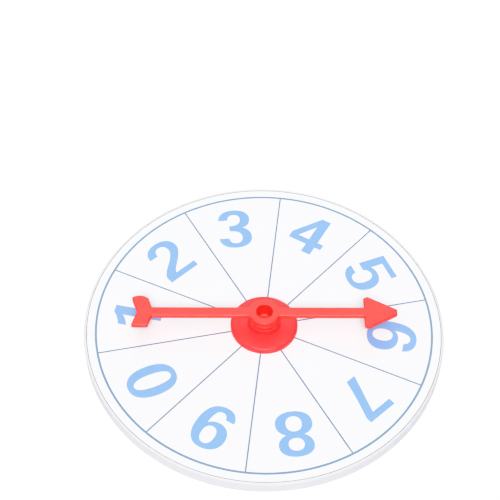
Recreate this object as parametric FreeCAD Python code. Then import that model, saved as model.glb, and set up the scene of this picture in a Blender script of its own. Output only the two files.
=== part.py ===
import FreeCAD, Part
import math
import os

# Game spinner: a round board with a printed number card, a flanged hub clamped
# through its middle, and a pointer whose hollow axle turns in that hub.
# Frame: origin at the middle of the board's underside, +Z up, the pointer
# points along +X at rest. Millimetres.

V = FreeCAD.Vector

# ---------------------------------------------------------------- dimensions
# board and cards
BOARD_D = 200.0          # outside diameter of the board
BOARD_T = 8.0            # board with both cards, underside to printed face
CARD_T = 0.30            # thickness of each card
CARD_R = 98.8            # radius of both cards; the rest is the white rim
RIM_ROUND = 0.55         # rounding of the rim's two edges
BOARD_HOLE_R = 7.65      # hole for the hub's shank
RECESS_R = 9.9           # recess under the board for the lock ring
RECESS_TOP = 3.2         # its ceiling above the underside

# hub base
FLANGE_R = 18.6
FLANGE_T = 3.3
FLANGE_ROUND = 1.6
BOSS_R = 9.0             # boss above the flange
BOSS_TOP = 7.8           # above the printed face
BOSS_FOOT_ROUND = 0.2
BOSS_TOP_ROUND = 0.35
SHANK_R = 7.6
BEARING_R = 6.05         # running bore for the pointer's axle
RELIEF_R = 6.5           # relieved middle of that bore
PEG_R = 1.2              # two locating pegs under the flange
PEG_AT = 13.0
PEG_L = 2.5

# lock ring, washer, clip
LOCK_R = 9.7
LOCK_T = 1.5
WASHER_IN_R = 6.4
WASHER_OUT_R = 7.9
WASHER_T = 0.4
CLIP_R = 7.3
CLIP_T = 0.7
END_PLAY = 0.25          # between the clip and the hub's lower end

# pointer
POINTER_TOP = 14.1       # top face above the printed face
ARM_T = 2.2              # thickness of head, arm, ring and tail
RING_R = 8.5
COLLAR_R = 8.7           # collar under the ring
COLLAR_TOP = 10.6
NECK_R = 8.3             # short neck between ring and collar
BORE_R = 4.55            # open bore from the top
BORE_FLOOR = 5.0         # its floor above the printed face
BORE_FOOT_ROUND = 1.5    # rounding between its wall and floor
FLOOR_T = 1.3
FLOOR_HOLE_R = 1.1
AXLE_R = 6.0
AXLE_IN_R = 3.5          # hollow of the axle under the floor
AXLE_END = 0.4           # lower end above the board's underside
GROOVE_R = 5.3
ARM_HALF = 2.95          # half the width of the arm
TIP_X = 73.2
TIP_HALF = 1.6
HEAD_BASE_X = 54.9
HEAD_PEAK_X = 57.1
HEAD_HALF = 10.3
TAIL_X = 73.3
TAIL_HALF = 9.45
TAIL_NOTCH_X = 70.1
TAIL_IN_X = 64.2
TAIL_NECK_X = 62.0
ARM_EDGE_ROUND = 0.8
GATE_X = -69.0           # remains of the moulding gate beside the tail
GATE_R = 7.6
GATE_PROUD = 1.3

TOP = BOARD_T            # height of the printed face


def cyl(r, z0, z1, x=0.0, y=0.0):
    return Part.makeCylinder(r, z1 - z0, V(x, y, z0))


def near(a, b, tol=1e-4):
    return abs(a - b) < tol


def circle_edges(shape, r, z):
    """Circular edges of radius r about the Z axis at height z."""
    out = []
    for e in shape.Edges:
        c = e.Curve
        if isinstance(c, Part.Circle) and near(c.Radius, r, 1e-3) \
                and near(c.Center.x, 0, 1e-3) and near(c.Center.y, 0, 1e-3) \
                and near(c.Center.z, z, 1e-3):
            out.append(e)
    return out


def save(name, shape):
    if shape.ShapeType != "Solid":
        solids = shape.Solids
        assert len(solids) == 1, (name, len(solids))
        shape = solids[0]
    assert shape.isValid(), name
    shape.exportStep("parts/" + name + ".step")
    b = shape.BoundBox
    print("%-14s vol %9.1f  x %.2f..%.2f  y %.2f..%.2f  z %.2f..%.2f" % (
        name, shape.Volume, b.XMin, b.XMax, b.YMin, b.YMax, b.ZMin, b.ZMax))
    return shape


# ---------------------------------------------------------------- board core
# one white disc, both rim edges rounded, stepped hole in the middle and two
# holes for the hub's pegs
def board_core():
    z0, z1 = CARD_T, BOARD_T - CARD_T
    s = cyl(BOARD_D / 2, z0, z1)
    rim = circle_edges(s, BOARD_D / 2, z0) + circle_edges(s, BOARD_D / 2, z1)
    s = s.makeFillet(RIM_ROUND, rim)
    s = s.cut(cyl(BOARD_HOLE_R, z0 - 1, z1 + 1))
    s = s.cut(cyl(RECESS_R, z0 - 1, RECESS_TOP))
    for sx in (-1, 1):
        s = s.cut(cyl(PEG_R + 0.1, TOP - PEG_L - 0.2, TOP + 1, sx * PEG_AT, 0))
    return s


# printed card on the top face, cut to a circle inside the rim
def dial_card():
    s = cyl(CARD_R, TOP - CARD_T, TOP)
    s = s.cut(cyl(BOARD_HOLE_R + 0.35, TOP - 1, TOP + 1))
    for sx in (-1, 1):
        s = s.cut(cyl(PEG_R + 0.1, TOP - 1, TOP + 1, sx * PEG_AT, 0))
    return s


# plain card on the underside, open over the recess
def back_card():
    return cyl(CARD_R, 0, CARD_T).cut(cyl(RECESS_R, -1, CARD_T + 1))


# ---------------------------------------------------------------- hub base
# flange, boss and shank in one moulding, bored for the axle, with a relieved
# middle so that the axle bears at both ends only
def hub_base():
    shank_end = RECESS_TOP - LOCK_T
    s = cyl(FLANGE_R, TOP, TOP + FLANGE_T)
    s = s.makeFillet(FLANGE_ROUND, circle_edges(s, FLANGE_R, TOP + FLANGE_T))
    s = s.fuse(cyl(BOSS_R, TOP, TOP + BOSS_TOP)).removeSplitter()
    s = s.makeFillet(BOSS_FOOT_ROUND, circle_edges(s, BOSS_R, TOP + FLANGE_T))
    s = s.makeFillet(BOSS_TOP_ROUND, circle_edges(s, BOSS_R, TOP + BOSS_TOP))
    s = s.fuse(cyl(SHANK_R, shank_end, TOP)).removeSplitter()
    for sx in (-1, 1):
        s = s.fuse(cyl(PEG_R, TOP - PEG_L, TOP, sx * PEG_AT, 0))
    s = s.cut(cyl(BEARING_R, shank_end - 1, TOP + BOSS_TOP + 1))
    s = s.cut(cyl(RELIEF_R, TOP - 2.6, TOP + 4.6))
    return s


def lock_ring():
    s = cyl(LOCK_R, RECESS_TOP - LOCK_T, RECESS_TOP)
    s = s.makeChamfer(0.4, circle_edges(s, LOCK_R, RECESS_TOP - LOCK_T))
    return s.cut(cyl(SHANK_R, RECESS_TOP - LOCK_T - 1, RECESS_TOP + 1))


def thrust_washer():
    z = TOP + BOSS_TOP
    return cyl(WASHER_OUT_R, z, z + WASHER_T).cut(
        cyl(WASHER_IN_R, z - 1, z + WASHER_T + 1))


# open spring clip: a flat ring with a gap, sprung into the axle's groove
def clip_z():
    top = RECESS_TOP - LOCK_T - END_PLAY
    return top - CLIP_T, top


def axle_clip():
    z0, z1 = clip_z()
    s = cyl(CLIP_R, z0, z1).cut(cyl(GROOVE_R, z0 - 1, z1 + 1))
    gap = Part.makeBox(CLIP_R + 1, 4.2, CLIP_T + 2, V(0, -2.1, z0 - 1))
    s = s.cut(gap)
    # two eyes for the pliers, beside the gap
    for sy in (-1, 1):
        s = s.cut(cyl(0.45, z0 - 1, z1 + 1, 5.75, sy * 3.0))
    return s


# ---------------------------------------------------------------- pointer
def outline(points):
    """Face in the XY plane from (x, y) corners."""
    pts = [V(x, y, 0) for x, y in points]
    return Part.Face(Part.makePolygon(pts + [pts[0]]))


def pointer():
    z0, z1 = TOP + POINTER_TOP - ARM_T, TOP + POINTER_TOP
    half = [
        (TIP_X, TIP_HALF),
        (HEAD_PEAK_X, HEAD_HALF),
        (HEAD_BASE_X, HEAD_HALF - 0.9),
        (HEAD_BASE_X, ARM_HALF),
        (-TAIL_NECK_X, ARM_HALF),
        (-TAIL_IN_X, TAIL_HALF),
        (-TAIL_X, TAIL_HALF),
    ]
    corners = half + [(-TAIL_NOTCH_X, 0.0)] + [(x, -y) for x, y in reversed(half)]
    arm = outline(corners).extrude(V(0, 0, ARM_T))
    arm.translate(V(0, 0, z0))
    flat = arm.fuse(cyl(RING_R, z0, z1)).removeSplitter()

    def upright(x, y, tol=0.05):
        found = []
        for e in flat.Edges:
            a, b = e.Vertexes[0].Point, e.Vertexes[-1].Point
            if near(a.x, b.x) and near(a.y, b.y) and abs(a.z - b.z) > 1 \
                    and abs(a.x - x) < tol and abs(abs(a.y) - abs(y)) < tol:
                found.append(e)
        assert len(found) in (1, 2), (x, y, len(found))
        return found

    join_x = math.sqrt(RING_R ** 2 - ARM_HALF ** 2)
    for (x, y), r in (((TIP_X, TIP_HALF), 1.0),
                      ((HEAD_PEAK_X, HEAD_HALF), 1.1),
                      ((HEAD_BASE_X, HEAD_HALF - 0.9), 0.9),
                      ((HEAD_BASE_X, ARM_HALF), 0.6),
                      ((-TAIL_NECK_X, ARM_HALF), 0.6),
                      ((-TAIL_IN_X, TAIL_HALF), 0.9),
                      ((-TAIL_X, TAIL_HALF), 0.9),
                      ((-TAIL_NOTCH_X, 0.0), 0.5),
                      ((join_x, ARM_HALF), 2.0),
                      ((-join_x, ARM_HALF), 2.0)):
        flat = flat.makeFillet(r, upright(x, y))

    rim = [e for e in flat.Edges
           if near(e.BoundBox.ZMin, z1, 1e-3) and near(e.BoundBox.ZMax, z1, 1e-3)]
    flat = flat.makeFillet(ARM_EDGE_ROUND, rim)

    # low remains of the moulding gate on one side of the tail: a shallow swell
    gate = cyl(GATE_R, z0 + 0.3, z1 - 0.35,
               GATE_X, TAIL_HALF + GATE_PROUD - GATE_R)
    gate = gate.common(Part.makeBox(8.0, 4.0, 4.0, V(GATE_X - 4.0, TAIL_HALF - 0.9, z0)))
    flat = flat.fuse(gate).removeSplitter()

    # neck, collar and axle, all on the Z axis
    collar_z0 = TOP + BOSS_TOP + WASHER_T
    body = cyl(COLLAR_R, collar_z0, TOP + COLLAR_TOP)
    body = body.makeFillet(0.35, circle_edges(body, COLLAR_R, TOP + COLLAR_TOP))
    body = body.fuse(cyl(NECK_R, TOP + COLLAR_TOP - 0.5, z0))
    axle = cyl(AXLE_R, AXLE_END, collar_z0)
    axle = axle.makeChamfer(0.25, circle_edges(axle, AXLE_R, AXLE_END))
    g0, g1 = clip_z()
    axle = axle.cut(cyl(AXLE_R + 1, g0, g1).cut(cyl(GROOVE_R, g0 - 1, g1 + 1)))
    s = flat.fuse([body, axle]).removeSplitter()
    floor = TOP + BORE_FLOOR
    bore = cyl(BORE_R, floor, z1 + 1)
    s = s.cut(bore.makeFillet(BORE_FOOT_ROUND, circle_edges(bore, BORE_R, floor)))
    s = s.cut(cyl(AXLE_IN_R, AXLE_END - 1, floor - FLOOR_T))
    s = s.cut(cyl(FLOOR_HOLE_R, floor - FLOOR_T - 1, floor + 1))
    s = s.makeFillet(0.25, circle_edges(s, BORE_R, z1))
    return s


def main():
    os.makedirs("parts", exist_ok=True)
    save("board_core", board_core())
    save("dial_card", dial_card())
    save("back_card", back_card())
    save("hub_base", hub_base())
    save("lock_ring", lock_ring())
    save("thrust_washer", thrust_washer())
    save("pointer", pointer())
    save("axle_clip", axle_clip())


main()
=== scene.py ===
import math

import bmesh
import bpy
from mathutils import Matrix, Vector
from mathutils.geometry import tessellate_polygon


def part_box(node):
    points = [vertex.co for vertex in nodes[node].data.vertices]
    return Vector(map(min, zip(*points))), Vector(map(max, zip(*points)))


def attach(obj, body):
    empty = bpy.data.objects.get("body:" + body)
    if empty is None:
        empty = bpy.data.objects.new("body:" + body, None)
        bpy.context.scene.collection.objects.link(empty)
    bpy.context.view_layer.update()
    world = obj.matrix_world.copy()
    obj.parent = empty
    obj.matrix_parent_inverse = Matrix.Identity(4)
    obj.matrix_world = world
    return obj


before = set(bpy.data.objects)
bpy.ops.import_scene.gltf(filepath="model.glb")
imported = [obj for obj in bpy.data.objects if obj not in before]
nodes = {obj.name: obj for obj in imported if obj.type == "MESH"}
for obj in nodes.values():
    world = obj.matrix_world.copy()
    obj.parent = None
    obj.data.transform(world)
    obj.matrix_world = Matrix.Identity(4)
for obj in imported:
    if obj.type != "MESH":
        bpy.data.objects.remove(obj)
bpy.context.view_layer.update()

MM = 0.001
scene = bpy.context.scene

# ------------------------------------------------------------------ places
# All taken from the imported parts: the printed face, the card's edge and the hub.
card_lo, card_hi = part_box("dial_card")
hub_lo, hub_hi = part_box("hub_base")
PRINT_Z = card_hi.z                      # printed face
CARD_R = (card_hi.x - card_lo.x) / 2     # radius of the card
FLANGE_R = (hub_hi.x - hub_lo.x) / 2     # radius of the hub's flange
INK = 0.000035                           # how far the ink stands above the card

TURN = -1.40                             # the dial as it lies, in degrees
LINE_0 = 84.70 + TURN                    # first sector line, counter-clockwise from +X
RING_R, RING_W = 93.4 * MM, 1.18 * MM
LINE_W = 0.78 * MM


# ------------------------------------------------------------------ materials
def new_material(name):
    m = bpy.data.materials.new(name)
    m.use_nodes = True
    nt = m.node_tree
    nt.nodes.clear()
    out = nt.nodes.new("ShaderNodeOutputMaterial")
    p = nt.nodes.new("ShaderNodeBsdfPrincipled")
    nt.links.new(p.outputs["BSDF"], out.inputs["Surface"])
    return m, nt, p


def coords(nt, scale=(1, 1, 1), rotation=(0, 0, 0)):
    tc = nt.nodes.new("ShaderNodeTexCoord")
    mp = nt.nodes.new("ShaderNodeMapping")
    mp.inputs["Scale"].default_value = scale
    mp.inputs["Rotation"].default_value = rotation
    nt.links.new(tc.outputs["Object"], mp.inputs["Vector"])
    return mp.outputs["Vector"]


def noise(nt, vector, scale, detail=3.0, rough=0.5, distortion=0.0):
    n = nt.nodes.new("ShaderNodeTexNoise")
    n.inputs["Scale"].default_value = scale
    n.inputs["Detail"].default_value = detail
    n.inputs["Roughness"].default_value = rough
    n.inputs["Distortion"].default_value = distortion
    nt.links.new(vector, n.inputs["Vector"])
    return n.outputs["Fac"]


def ramp(nt, fac, stops):
    r = nt.nodes.new("ShaderNodeValToRGB")
    els = r.color_ramp.elements
    while len(els) > 1:
        els.remove(els[-1])
    els[0].position, els[0].color = stops[0][0], (*stops[0][1], 1)
    for pos, col in stops[1:]:
        e = els.new(pos)
        e.color = (*col, 1)
    nt.links.new(fac, r.inputs["Fac"])
    return r.outputs["Color"]


def remap(nt, fac, lo, hi, a=0.0, b=1.0):
    n = nt.nodes.new("ShaderNodeMapRange")
    n.inputs["From Min"].default_value = a
    n.inputs["From Max"].default_value = b
    n.inputs["To Min"].default_value = lo
    n.inputs["To Max"].default_value = hi
    nt.links.new(fac, n.inputs["Value"])
    return n.outputs["Result"]


def add(nt, a, b, op="ADD"):
    n = nt.nodes.new("ShaderNodeMath")
    n.operation = op
    for i, s in enumerate((a, b)):
        if isinstance(s, (int, float)):
            n.inputs[i].default_value = s
        else:
            nt.links.new(s, n.inputs[i])
    return n.outputs[0]


def bump(nt, p, height, strength, distance, normal=None):
    b = nt.nodes.new("ShaderNodeBump")
    b.inputs["Strength"].default_value = strength
    b.inputs["Distance"].default_value = distance
    nt.links.new(height, b.inputs["Height"])
    if normal is not None:
        nt.links.new(normal, b.inputs["Normal"])
    nt.links.new(b.outputs["Normal"], p.inputs["Normal"])
    return b.outputs["Normal"]


def shades(col, spread):
    """Darker and lighter neighbours of a colour."""
    lo = tuple(max(0.0, c * (1 - spread)) for c in col)
    hi = tuple(min(1.0, c * (1 + spread)) for c in col)
    return lo, hi


def red_plastic(name, col, rough, ior, spread=0.05):
    m, nt, p = new_material(name)
    v = coords(nt)
    flow = noise(nt, coords(nt, (1, 2.4, 1)), 70, 3, 0.5, 0.6)     # flow of the melt
    mottle = noise(nt, v, 520, 2)
    lo, hi = shades(col, spread)
    nt.links.new(ramp(nt, add(nt, add(nt, flow, 0.7, "MULTIPLY"), add(nt, mottle, 0.3, "MULTIPLY")),
                      [(0.32, lo), (0.5, col), (0.68, hi)]), p.inputs["Base Color"])
    nt.links.new(remap(nt, noise(nt, v, 240, 4), rough - 0.05, rough + 0.07, 0.3, 0.7), p.inputs["Roughness"])
    p.inputs["IOR"].default_value = ior
    p.inputs["Subsurface Weight"].default_value = 0.4
    p.inputs["Subsurface Radius"].default_value = (1.0, 0.06, 0.05)
    p.inputs["Subsurface Scale"].default_value = 0.0025
    fine = noise(nt, v, 2600, 2)
    wave = noise(nt, v, 160, 2)
    bump(nt, p, add(nt, add(nt, fine, 0.25, "MULTIPLY"), wave), 0.35, 0.00006)
    return m


def foam_white(name):
    m, nt, p = new_material(name)
    v = coords(nt)
    cloud = noise(nt, v, 45, 4)
    skin, side_shade = (0.70, 0.70, 0.735), (0.56, 0.556, 0.605)      # top faces, and the upright sides painted greyer: painted shade
    tones = []
    for col in (skin, side_shade):
        lo, hi = shades(col, 0.012)
        tones.append(ramp(nt, cloud, [(0.3, lo), (0.5, col), (0.7, hi)]))
    tc = nt.nodes.new("ShaderNodeTexCoord")
    sep = nt.nodes.new("ShaderNodeSeparateXYZ")
    nt.links.new(tc.outputs["Normal"], sep.inputs["Vector"])
    # mask from the face's tilt: upright faces take the greyer colour, painted shade on the board's sides
    flat = remap(nt, add(nt, sep.outputs["Z"], sep.outputs["Z"], "MULTIPLY"), 0.0, 1.0, 0.15, 0.75)
    mix = nt.nodes.new("ShaderNodeMix")
    mix.data_type = "RGBA"
    nt.links.new(flat, mix.inputs["Factor"])
    nt.links.new(tones[1], mix.inputs["A"])
    nt.links.new(tones[0], mix.inputs["B"])
    nt.links.new(mix.outputs["Result"], p.inputs["Base Color"])
    nt.links.new(remap(nt, noise(nt, v, 600, 3), 0.48, 0.6, 0.3, 0.7), p.inputs["Roughness"])
    p.inputs["IOR"].default_value = 1.46
    # closed cells and faint lines left by the cutter round the edge
    cells = nt.nodes.new("ShaderNodeTexVoronoi")
    cells.inputs["Scale"].default_value = 1500
    nt.links.new(v, cells.inputs["Vector"])
    lines = noise(nt, coords(nt, (1, 1, 26)), 95, 2)
    bump(nt, p, add(nt, add(nt, cells.outputs["Distance"], 0.5, "MULTIPLY"), lines), 0.22, 0.00008)
    return m


def card_white(name, col=(0.885, 0.893, 0.935), rough=0.33):
    m, nt, p = new_material(name)
    v = coords(nt)
    fibre = noise(nt, coords(nt, (1, 3.0, 1), (0, 0, 0.5)), 900, 4, 0.6, 0.8)
    cloud = noise(nt, v, 24, 3)
    lo, hi = shades(col, 0.008)
    nt.links.new(ramp(nt, add(nt, add(nt, cloud, 0.6, "MULTIPLY"), add(nt, fibre, 0.4, "MULTIPLY")),
                      [(0.35, lo), (0.5, col), (0.65, hi)]), p.inputs["Base Color"])
    nt.links.new(remap(nt, noise(nt, v, 380, 3), rough - 0.04, rough + 0.05, 0.3, 0.7), p.inputs["Roughness"])
    p.inputs["IOR"].default_value = 1.47
    bump(nt, p, add(nt, add(nt, fibre, 0.35, "MULTIPLY"), noise(nt, v, 130, 2)), 0.16, 0.00005)
    return m


def ink(name, col, spread=0.035, rough=0.33):
    m, nt, p = new_material(name)
    v = coords(nt)
    screen = noise(nt, coords(nt, (1, 1.9, 1), (0, 0, 0.7)), 1150, 3, 0.6, 1.2)
    cloud = noise(nt, v, 160, 3)
    lo, hi = shades(col, spread)
    nt.links.new(ramp(nt, add(nt, add(nt, cloud, 0.55, "MULTIPLY"), add(nt, screen, 0.45, "MULTIPLY")),
                      [(0.36, lo), (0.5, col), (0.64, hi)]), p.inputs["Base Color"])
    nt.links.new(remap(nt, noise(nt, v, 380, 3), rough - 0.04, rough + 0.05, 0.3, 0.7), p.inputs["Roughness"])
    p.inputs["IOR"].default_value = 1.47
    bump(nt, p, screen, 0.1, 0.00003)
    return m


def steel(name):
    m, nt, p = new_material(name)
    v = coords(nt, (1, 1, 14))
    nt.links.new(ramp(nt, noise(nt, v, 300, 3), [(0.3, (0.42, 0.43, 0.45)), (0.7, (0.60, 0.61, 0.63))]),
                 p.inputs["Base Color"])
    p.inputs["Metallic"].default_value = 1.0
    nt.links.new(remap(nt, noise(nt, v, 900, 3), 0.24, 0.4, 0.3, 0.7), p.inputs["Roughness"])
    bump(nt, p, noise(nt, v, 1800, 2), 0.15, 0.00003)
    return m


def dress(obj, material):
    if not obj.material_slots:
        obj.data.materials.append(material)
    for s in obj.material_slots:
        s.link = "OBJECT"
        s.material = material


red_top = red_plastic("red_pointer_plastic", (0.985, 0.0255, 0.0135), 0.42, 1.58)
red_hub = red_plastic("red_hub_plastic", (0.985, 0.027, 0.029), 0.46, 1.5)
# red plastic washer, its red darkened as painted shade of the narrow gap it sits in under the pointer
red_washer_shade = red_plastic("red_washer_plastic_shaded", (0.62, 0.012, 0.018), 0.5, 1.48)
white_core = foam_white("white_foamed_board")
card = card_white("white_laminated_card")
back = card_white("plain_back_card", (0.90, 0.90, 0.89), 0.6)
blue = ink("light_blue_ink", (0.215, 0.395, 0.79))
ring_blue = ink("ring_blue_ink", (0.172, 0.28, 0.405))
line_blue = ink("line_blue_grey_ink", (0.145, 0.21, 0.315))
edge_shadow_grey = ink("card_edge_painted_shadow", (0.21, 0.21, 0.215), 0.08, 0.6)
clip_steel = steel("spring_steel")

dress(nodes["pointer"], red_top)
dress(nodes["hub_base"], red_hub)
dress(nodes["lock_ring"], red_hub)
dress(nodes["thrust_washer"], red_washer_shade)
dress(nodes["board_core"], white_core)
dress(nodes["dial_card"], card)
dress(nodes["back_card"], back)
dress(nodes["axle_clip"], clip_steel)


# ------------------------------------------------------------------ meshes
def plate(name, contours, z0, z1, material, body="base"):
    """A closed thin plate between z0 and z1. contours: the outer line first, then the holes; (x, y) in metres."""
    polys = [[Vector((x, y, 0)) for x, y in c] for c in contours]
    tris = tessellate_polygon(polys)
    flat = [p for c in polys for p in c]
    n = len(flat)
    bm = bmesh.new()
    low = [bm.verts.new((p.x, p.y, z0)) for p in flat]
    top = [bm.verts.new((p.x, p.y, z1)) for p in flat]
    for a, b, c in tris:
        u, v = flat[b] - flat[a], flat[c] - flat[a]
        area = u.x * v.y - u.y * v.x
        if abs(area) < 1e-16:
            continue
        if area < 0:
            b, c = c, b
        bm.faces.new((top[a], top[b], top[c]))
        bm.faces.new((low[a], low[c], low[b]))
    start = 0
    for c in polys:
        m = len(c)
        for i in range(m):
            a, b = start + i, start + (i + 1) % m
            bm.faces.new((low[a], low[b], top[b], top[a]))
        start += m
    bmesh.ops.recalc_face_normals(bm, faces=bm.faces)
    me = bpy.data.meshes.new(name)
    bm.to_mesh(me)
    bm.free()
    obj = bpy.data.objects.new(name, me)
    scene.collection.objects.link(obj)
    me.materials.append(material)
    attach(obj, body)
    return obj


def circle(r, n=360, cx=0.0, cy=0.0):
    return [(cx + r * math.cos(2 * math.pi * i / n), cy + r * math.sin(2 * math.pi * i / n)) for i in range(n)]


# ------------------------------------------------------------------ digits
# Each digit is drawn upright about (0, 0), in millimetres, in plain bold
# grotesque shapes. M and L are straight moves, C is a cubic curve.
SIX = """M 7.5 6.8 C 7.0 11.4 4.2 13.9 -0.4 13.9 C -7.6 13.9 -11.4 8.3 -11.4 -1.2
 C -11.4 -9.6 -7.9 -14.1 -1.7 -14.1 C 4.1 -14.1 8.4 -10.6 8.4 -4.9 C 8.4 0.2 5.2 3.7 0.5 3.7
 C -2.1 3.7 -4.2 2.8 -5.5 1.1 C -5.3 7.6 -3.7 10.3 -1.0 10.3 C 0.8 10.3 2.0 9.0 2.3 6.9 Z
 M -1.7 0.3 C 0.7 0.3 2.3 -1.7 2.3 -5.2 C 2.3 -8.9 0.8 -10.9 -1.6 -10.9 C -4.0 -10.9 -5.6 -8.8 -5.6 -5.2
 C -5.6 -1.8 -4.1 0.3 -1.7 0.3 Z"""
DIGITS = {
    "0": """M -1.7 13.9 C 4.6 13.9 8.1 8.6 8.1 -0.1 C 8.1 -8.8 4.6 -14.1 -1.7 -14.1 C -8.0 -14.1 -11.4 -8.8 -11.4 -0.1
 C -11.4 8.6 -8.0 13.9 -1.7 13.9 Z
 M -1.8 10.3 C -4.5 10.3 -5.8 6.4 -5.8 -0.2 C -5.8 -7.0 -4.5 -11.0 -1.8 -11.0 C 1.0 -11.0 2.4 -7.0 2.4 -0.2
 C 2.4 6.4 1.0 10.3 -1.8 10.3 Z""",
    "1": """M -1.4 13.3 L 3.5 13.3 L 3.5 -13.7 L -2.3 -13.7 L -2.3 8.0 C -4.2 6.3 -6.4 5.1 -8.9 4.4 L -8.9 9.3
 C -5.5 10.2 -2.9 11.6 -1.4 13.3 Z""",
    "2": """M -11.3 6.1 C -11.0 11.3 -7.6 13.9 -2.0 13.9 C 3.8 13.9 7.5 10.9 7.5 6.2 C 7.5 2.9 5.3 0.3 1.6 -3.0
 C -1.8 -5.9 -4.4 -7.6 -5.3 -9.9 L 7.7 -9.9 L 7.7 -13.7 L -12.0 -13.7 L -12.0 -10.6 C -11.9 -7.6 -9.3 -5.6 -4.8 -2.3
 C -0.6 0.8 1.9 3.4 1.9 6.3 C 1.9 8.9 0.5 10.4 -2.0 10.4 C -4.4 10.4 -5.7 8.9 -5.8 6.1 Z""",
    "3": """M -11.5 6.6 C -11.1 11.4 -7.7 13.9 -2.3 13.9 C 3.4 13.9 6.9 11.2 6.9 7.0 C 6.9 3.6 5.2 1.4 2.3 0.4
 C 5.3 -0.6 7.1 -3.2 7.1 -6.6 C 7.1 -11.2 3.2 -14.1 -2.5 -14.1 C -8.3 -14.1 -11.6 -11.5 -12.0 -6.8 L -6.2 -6.9
 C -6.0 -9.5 -4.7 -10.8 -2.4 -10.8 C 0.0 -10.8 1.5 -9.3 1.5 -6.6 C 1.5 -3.4 -0.6 -1.7 -5.5 -1.7 L -5.5 2.1
 C -1.0 2.1 1.3 3.6 1.3 6.7 C 1.3 9.1 0.0 10.4 -2.3 10.4 C -4.6 10.4 -5.9 9.1 -6.0 6.6 Z""",
    "4": """M -1.0 13.3 L 4.7 13.3 L 4.7 -3.8 L 8.5 -3.8 L 8.5 -7.7 L 4.7 -7.7 L 4.7 -13.7 L -1.0 -13.7 L -1.0 -7.7
 L -12.3 -7.7 L -12.3 -3.0 Z
 M -1.0 6.4 L -7.9 -3.8 L -1.0 -3.8 Z""",
    "5": """M -10.7 13.3 L 6.0 13.3 L 6.0 9.8 L -5.7 9.8 L -6.0 2.7 C -4.6 3.7 -2.9 4.2 -0.9 4.2 C 4.1 4.2 7.5 0.6 7.5 -4.7
 C 7.5 -10.4 3.4 -14.1 -2.4 -14.1 C -8.1 -14.1 -11.5 -11.6 -12.0 -7.2 L -6.1 -7.1 C -5.8 -9.6 -4.6 -10.9 -2.4 -10.9
 C 0.4 -10.9 2.0 -8.7 2.0 -4.8 C 2.0 -1.2 0.5 0.8 -2.1 0.8 C -3.9 0.8 -5.2 -0.2 -6.1 -2.4 L -11.5 -2.4 Z""",
    "6": SIX,
    "7": """M -11.3 13.3 L 6.6 13.3 L 6.6 9.8 C 4.3 4.2 0.8 -4.9 -1.6 -13.7 L -7.6 -13.7 C -5.1 -6.6 -1.5 1.9 1.1 9.2
 L -11.3 9.2 Z""",
    "8": """M -1.65 13.9 C 4.2 13.9 7.9 11.2 7.9 7.0 C 7.9 4.0 6.1 1.6 3.2 0.5 C 6.5 -0.6 8.4 -3.1 8.4 -6.3
 C 8.4 -11.1 4.5 -14.1 -1.65 -14.1 C -7.8 -14.1 -11.7 -11.1 -11.7 -6.3 C -11.7 -3.1 -9.8 -0.6 -6.5 0.5
 C -9.4 1.6 -11.2 4.0 -11.2 7.0 C -11.2 11.2 -7.5 13.9 -1.65 13.9 Z
 M -1.65 10.2 C -4.2 10.2 -5.9 8.7 -5.9 6.3 C -5.9 4.0 -4.2 2.5 -1.65 2.5 C 0.9 2.5 2.6 4.0 2.6 6.3
 C 2.6 8.7 0.9 10.2 -1.65 10.2 Z
 M -1.65 -1.6 C -4.3 -1.6 -5.95 -3.4 -5.95 -6.2 C -5.95 -9.1 -4.3 -10.9 -1.65 -10.9 C 1.0 -10.9 2.65 -9.1 2.65 -6.2
 C 2.65 -3.4 1.0 -1.6 -1.65 -1.6 Z""",
    "9": SIX,
}
DIGIT_R = 71.3 * 0.997      # middle of the digits from the dial's middle
DIGIT_TILT = -5.2           # each leans a little from the radius
# sector middles, counter-clockwise from +X, for digits 3 4 5 6 7 8 9 0 1 2
ORDER = "3456789012"


def outline(path, steps=14):
    """Closed contours from a path string."""
    out, cur, i = [], [], 0
    t = path.split()
    while i < len(t):
        k = t[i]
        if k == "Z":
            if (Vector(cur[0]) - Vector(cur[-1])).length < 1e-6:
                cur.pop()
            out.append(cur)
            cur = []
            i += 1
        elif k in "ML":
            cur.append((float(t[i + 1]), float(t[i + 2])))
            i += 3
        else:
            p = [Vector(cur[-1])] + [Vector((float(t[i + j]), float(t[i + j + 1]))) for j in (1, 3, 5)]
            for s in range(1, steps + 1):
                u = s / steps
                q = (1 - u) ** 3 * p[0] + 3 * u * (1 - u) ** 2 * p[1] + 3 * u * u * (1 - u) * p[2] + u ** 3 * p[3]
                cur.append((q.x, q.y))
            i += 7
    return out


def place_digit(ch, middle):
    contours = outline(DIGITS[ch])
    if ch == "9":                       # a six turned round
        contours = [[(-3.45 - x, -0.3 - y) for x, y in c] for c in contours]
    a = math.radians(middle)
    lean = math.radians(middle + DIGIT_TILT)
    up = Vector((math.cos(lean), math.sin(lean)))
    right = Vector((math.sin(lean), -math.cos(lean)))
    at = Vector((math.cos(a), math.sin(a))) * DIGIT_R
    done = []
    for c in contours:
        done.append([tuple((at + right * x * 0.997 + up * y * 0.997) * MM) for x, y in c])
    plate("printed_digit_" + ch, done, PRINT_Z - 0.00006, PRINT_Z + INK, blue)


for k, ch in enumerate(ORDER):
    place_digit(ch, LINE_0 + 18 - 36 * k)
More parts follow.
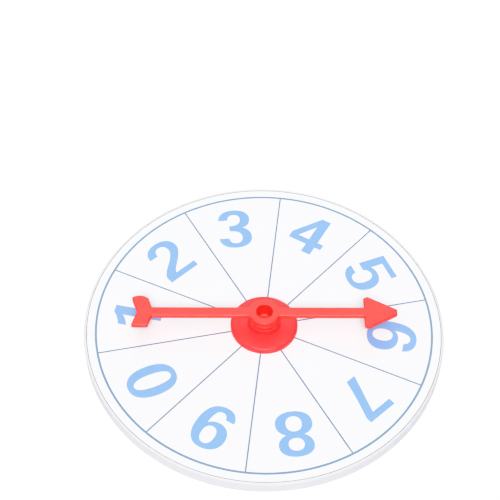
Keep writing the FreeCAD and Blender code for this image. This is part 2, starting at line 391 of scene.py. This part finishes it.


# ------------------------------------------------------------------ ring, lines, painted shadow at the card edge
def wheel():
    """The ring and the ten sector lines, as one plate with one hole."""
    r_out, r_in, r_hub = RING_R + RING_W / 2, RING_R - RING_W / 2, FLANGE_R - 0.6 * MM
    hole = []
    for k in range(10):
        a = math.radians(LINE_0 + 36 * k)
        b = math.radians(LINE_0 + 36 * (k + 1))
        h = LINE_W / 2
        # stub end of this line near the hub, out along it, then the arc to the next line
        d0, d1 = math.asin(h / r_hub), math.asin(h / r_in)
        hole.append((r_hub * math.cos(a - d0), r_hub * math.sin(a - d0)))
        hole.append((r_hub * math.cos(a + d0), r_hub * math.sin(a + d0)))
        n = 36
        for i in range(n + 1):
            w = (a + d1) + (b - a - 2 * d1) * i / n
            hole.append((r_in * math.cos(w), r_in * math.sin(w)))
    return [circle(r_out), hole]


plate("printed_ring_and_lines", wheel(), PRINT_Z - 0.00006, PRINT_Z + INK, line_blue)
ring = plate("printed_ring", [circle(RING_R + RING_W / 2 + 0.00002), circle(RING_R - RING_W / 2 - 0.00002)],
             PRINT_Z - 0.00007, PRINT_Z + INK + 0.000004, ring_blue)
# a thin grey ring just inside the card's rim: painted shadow of the gap along the card's cut edge
plate("card_edge_shadow_ring", [circle(CARD_R - 0.00004), circle(CARD_R - 0.00046)],
      PRINT_Z - 0.00020, PRINT_Z + 0.00001, edge_shadow_grey)

# ------------------------------------------------------------------ floor, light, camera
bpy.ops.mesh.primitive_grid_add(x_subdivisions=8, y_subdivisions=8, size=40, location=(0, 0, -0.00015))
floor = bpy.context.object
floor.name = "floor"
fm, fnt, fp = new_material("pale_floor")
fnt.links.new(ramp(fnt, noise(fnt, coords(fnt), 3, 2), [(0.3, (0.975, 0.975, 0.98)), (0.7, (0.99, 0.99, 0.99))]),
              fp.inputs["Base Color"])
fp.inputs["Roughness"].default_value = 0.8
fp.inputs["Specular IOR Level"].default_value = 0.2
fp.inputs["Emission Color"].default_value = (1, 1, 1, 1)
fp.inputs["Emission Strength"].default_value = 0.12
floor.data.materials.append(fm)

world = bpy.data.worlds.new("studio")
scene.world = world
world.use_nodes = True
bg = world.node_tree.nodes["Background"]
bg.inputs["Color"].default_value = (1.0, 1.0, 1.0, 1)
bg.inputs["Strength"].default_value = 0.2


def area(name, loc, target, size, power, col=(1, 1, 1)):
    l = bpy.data.lights.new(name, "AREA")
    l.shape = "RECTANGLE"
    l.size, l.size_y = size
    l.energy = power
    l.color = col
    o = bpy.data.objects.new(name, l)
    scene.collection.objects.link(o)
    o.location = loc
    o.rotation_mode = "QUATERNION"
    o.rotation_quaternion = (Vector(target) - Vector(loc)).to_track_quat("-Z", "Y")
    return o


def distant(name, loc, power, angle):
    l = bpy.data.lights.new(name, "SUN")
    l.energy = power
    l.angle = math.radians(angle)
    o = bpy.data.objects.new(name, l)
    scene.collection.objects.link(o)
    o.location = loc
    o.rotation_mode = "QUATERNION"
    o.rotation_quaternion = (-Vector(loc)).to_track_quat("-Z", "Y")
    return o


for name, loc, size, power in (("sheen_back", (0.1, 1.9, 2.4), (3.2, 2.3), 35.0),
                               ("sheen_low", (0.0, 3.0, 1.0), (3.6, 1.3), 31.0),
                               ("sheen_top", (0.0, -0.1, 3.2), (2.6, 1.8), 22.0)):
    sheen = area(name, loc, (0, 0, 0), size, power)
    sheen.visible_diffuse = False     # these only lend the plastic and the laminate their sheen
distant("soft_front", (0.0, -2.1, 2.69), 2.55, 24)
distant("soft_top", (-0.15, -0.5, 3.4), 0.95, 55)
distant("soft_left", (-2.3, -0.8, 1.7), 0.40, 45)
distant("soft_low", (0.3, -3.1, 1.2), 0.38, 60)
distant("soft_back", (0.4, 3.0, 1.2), 0.65, 60).visible_glossy = False     # lightens the far edge only

scene.view_settings.view_transform = "Standard"
scene.view_settings.look = "None"
scene.view_settings.exposure = 0.0
scene.view_settings.gamma = 1.0
# the photographer's exposure: a little over white, with the highlights eased down
scene.view_settings.use_curve_mapping = True
tone = scene.view_settings.curve_mapping
WHITE = 1.6
tone.white_level = (WHITE, WHITE, WHITE)
shoulder = tone.curves[3]
knots = [(0.0, 0.0), (0.35, 0.35), (0.6, 0.6), (0.7, 0.698), (0.8, 0.783), (0.9, 0.846), (1.0, 0.89), (1.1, 0.925),
         (1.2, 0.957), (1.3, 0.985), (1.4, 1.0), (1.6, 1.0)]
shoulder.points[0].location = (0, 0)
shoulder.points[-1].location = (1, 1)
for x, y in knots[1:-1]:
    shoulder.points.new(x / WHITE, y)
for k in shoulder.points:
    k.handle_type = "AUTO_CLAMPED"
tone.update()

# camera: the photograph's viewing angle
EL, ROLL, DIST, FPX = math.radians(52.001), math.radians(1.261), 832.5586, 1490.130
SHIFT_X, SHIFT_Y, K = -8.77025, 42.31172, 0.997
back_v = Vector((0, -math.cos(EL), math.sin(EL)))
right_v = Vector((1, 0, 0))
up_v = Vector((0, math.sin(EL), math.cos(EL)))
cam_x = math.cos(ROLL) * right_v + math.sin(ROLL) * up_v
cam_y = -math.sin(ROLL) * right_v + math.cos(ROLL) * up_v
spot = (back_v * DIST + right_v * SHIFT_X + up_v * SHIFT_Y) * K * MM
turn = Matrix.Rotation(math.radians(TURN), 3, "Z")
cam_x, cam_y, cam_z, spot = turn @ cam_x, turn @ cam_y, turn @ back_v, turn @ spot
cam = bpy.data.cameras.new("camera")
cam.sensor_fit = "HORIZONTAL"
cam.sensor_width = 36
cam.lens = FPX / 500 * 36
cam.clip_start, cam.clip_end = 0.05, 20
cam_o = bpy.data.objects.new("camera", cam)
scene.collection.objects.link(cam_o)
m = Matrix.Identity(4)
for i in range(3):
    m[i][0], m[i][1], m[i][2] = cam_x[i], cam_y[i], cam_z[i]
    m[i][3] = spot[i]
m[2][3] += PRINT_Z
cam_o.matrix_world = m
scene.camera = cam_o

bpy.context.view_layer.update()
